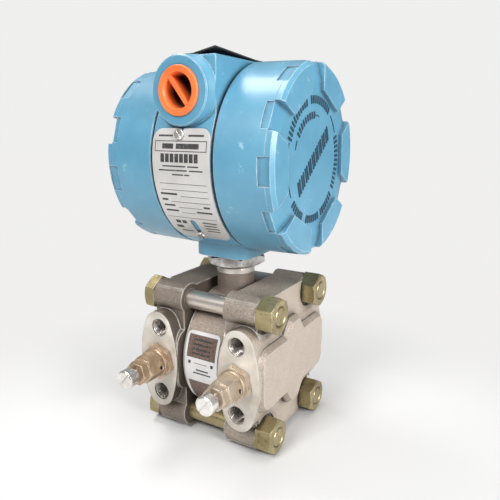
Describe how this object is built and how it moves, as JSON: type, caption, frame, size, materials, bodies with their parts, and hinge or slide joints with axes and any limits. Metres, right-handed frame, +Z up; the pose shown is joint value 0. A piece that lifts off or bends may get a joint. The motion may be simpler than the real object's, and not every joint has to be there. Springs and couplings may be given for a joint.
{
  "type": "differential pressure transmitter",
  "caption": "Two-cover round electronics housing on a bolted differential pressure sensor with vent valves and ports for a manifold.",
  "frame": {"origin": "centre of the four tapped holes of the rear process face, on that face", "axes": "+X along the flange bolts towards the high pressure side, +Y out of the rear process face towards the manifold, +Z up along the neck"},
  "size_m": [0.106, 0.1257, 0.2225],
  "materials": {
    "cast_steel": "bead-blasted cast stainless steel, warm light grey",
    "cast_steel_dark": "bead-blasted cast stainless steel, darker brown grey",
    "bolt_zinc": "zinc plated, one bolt bare and bright",
    "nut_zinc": "yellow passivated zinc plate",
    "module_steel": "stainless steel, bead-blasted, dark grey",
    "label_steel": "stamped label, satin",
    "diaphragm_foil": "corrugated foil, bright",
    "seal_plastic": "white seal material",
    "blue_paint": "satin light blue paint over cast aluminium",
    "polished_steel": "bright stainless steel",
    "black_rubber": "black seal",
    "nameplate_steel": "satin sheet, printed fields",
    "black_plate": "thin black plate",
    "orange_plastic": "moulded orange plastic",
    "board_green": "coated circuit board",
    "brass_parts": "turned brass",
    "black_plastic": "moulded black plastic",
    "vent_steel": "stainless steel, warm tan",
    "vent_bronze": "stainless steel, brown stained"
  },
  "bodies": {
    "base": {"flange_high": "cast_steel", "flange_low": "cast_steel_dark", "flange_bolts": "bolt_zinc", "flange_nuts": "nut_zinc", "sensor_module": "module_steel", "module_label": "label_steel", "diaphragm_high": "diaphragm_foil", "diaphragm_low": "diaphragm_foil", "process_seal_high": "seal_plastic", "process_seal_low": "seal_plastic", "lock_nut": "polished_steel", "vent_seat_high": "vent_steel", "vent_body_high": "vent_steel", "vent_seat_low": "vent_bronze", "vent_body_low": "vent_bronze"},
    "head": {"housing": "blue_paint", "nameplate": "nameplate_steel", "nameplate_screws": "polished_steel", "top_plate": "black_plate", "top_plate_pins": "black_plate", "inner_board": "board_green", "outer_board": "board_green", "board_standoffs": "brass_parts", "board_screws": "polished_steel", "terminal_block": "black_plastic", "terminal_screws": "polished_steel", "feedthrough": "black_plastic", "ground_screw": "polished_steel"},
    "seal_travel_right": {"cover_seal_right": "black_rubber"},
    "cover_turn_right": {"cover_right": "blue_paint"},
    "seal_travel_left": {"cover_seal_left": "black_rubber"},
    "cover_turn_left": {"cover_left": "blue_paint"},
    "zero_adjuster": {"zero_screw": "polished_steel"},
    "span_adjuster": {"span_screw": "polished_steel"},
    "ball_travel_high": {"valve_ball_high": "polished_steel"},
    "bleed_turn_high": {"bleed_screw_high": "polished_steel"},
    "ball_travel_low": {"valve_ball_low": "polished_steel"},
    "bleed_turn_low": {"bleed_screw_low": "polished_steel"},
    "plug": {"conduit_plug": "orange_plastic"}
  },
  "joints": [
    {"name": "head_swivel", "type": "hinge", "parent": "base", "child": "head", "pos_m": [0, -0.04285, 0.066], "axis": [0, 0, 1], "range_deg": [-90, 90]},
    {"name": "cover_travel_right", "type": "slide", "parent": "head", "child": "seal_travel_right", "axis": [1, 0, 0], "range_m": [0, 0.018]},
    {"name": "cover_turn_right", "type": "hinge", "parent": "seal_travel_right", "child": "cover_turn_right", "pos_m": [0, -0.04285, 0.1192], "axis": [1, 0, 0], "range_deg": [0, 3240]},
    {"name": "cover_travel_left", "type": "slide", "parent": "head", "child": "seal_travel_left", "axis": [-1, 0, 0], "range_m": [0, 0.018]},
    {"name": "cover_turn_left", "type": "hinge", "parent": "seal_travel_left", "child": "cover_turn_left", "pos_m": [0, -0.04285, 0.1192], "axis": [-1, 0, 0], "range_deg": [0, 3240]},
    {"name": "zero_turn", "type": "hinge", "parent": "head", "child": "zero_adjuster", "pos_m": [-0.0094, -0.0893, 0.1313], "axis": [0, -0.9677, 0.2521], "continuous": true},
    {"name": "span_turn", "type": "hinge", "parent": "head", "child": "span_adjuster", "pos_m": [0.0094, -0.0893, 0.1313], "axis": [0, -0.9677, 0.2521], "continuous": true},
    {"name": "bleed_travel_high", "type": "slide", "parent": "base", "child": "ball_travel_high", "axis": [0, -1, 0], "range_m": [0, 0.0027]},
    {"name": "bleed_turn_high", "type": "hinge", "parent": "ball_travel_high", "child": "bleed_turn_high", "pos_m": [0.027, -0.10785, 0], "axis": [0, -1, 0], "range_deg": [0, 1080]},
    {"name": "bleed_travel_low", "type": "slide", "parent": "base", "child": "ball_travel_low", "axis": [0, -1, 0], "range_m": [0, 0.0027]},
    {"name": "bleed_turn_low", "type": "hinge", "parent": "ball_travel_low", "child": "bleed_turn_low", "pos_m": [-0.027, -0.10785, 0], "axis": [0, -1, 0], "range_deg": [0, 1080]},
    {"name": "plug_pull", "type": "slide", "parent": "head", "child": "plug", "axis": [0, -1, 0], "range_m": [0, 0.014]}
  ],
  "couplings": [
    {"joint": "cover_travel_right", "follows": "cover_turn_right", "m_per_rad": 0.00031831},
    {"joint": "cover_travel_left", "follows": "cover_turn_left", "m_per_rad": 0.00031831},
    {"joint": "bleed_turn_high", "follows": "bleed_travel_high", "rad_per_m": 6981.3},
    {"joint": "bleed_turn_low", "follows": "bleed_travel_low", "rad_per_m": 6981.3}
  ]
}
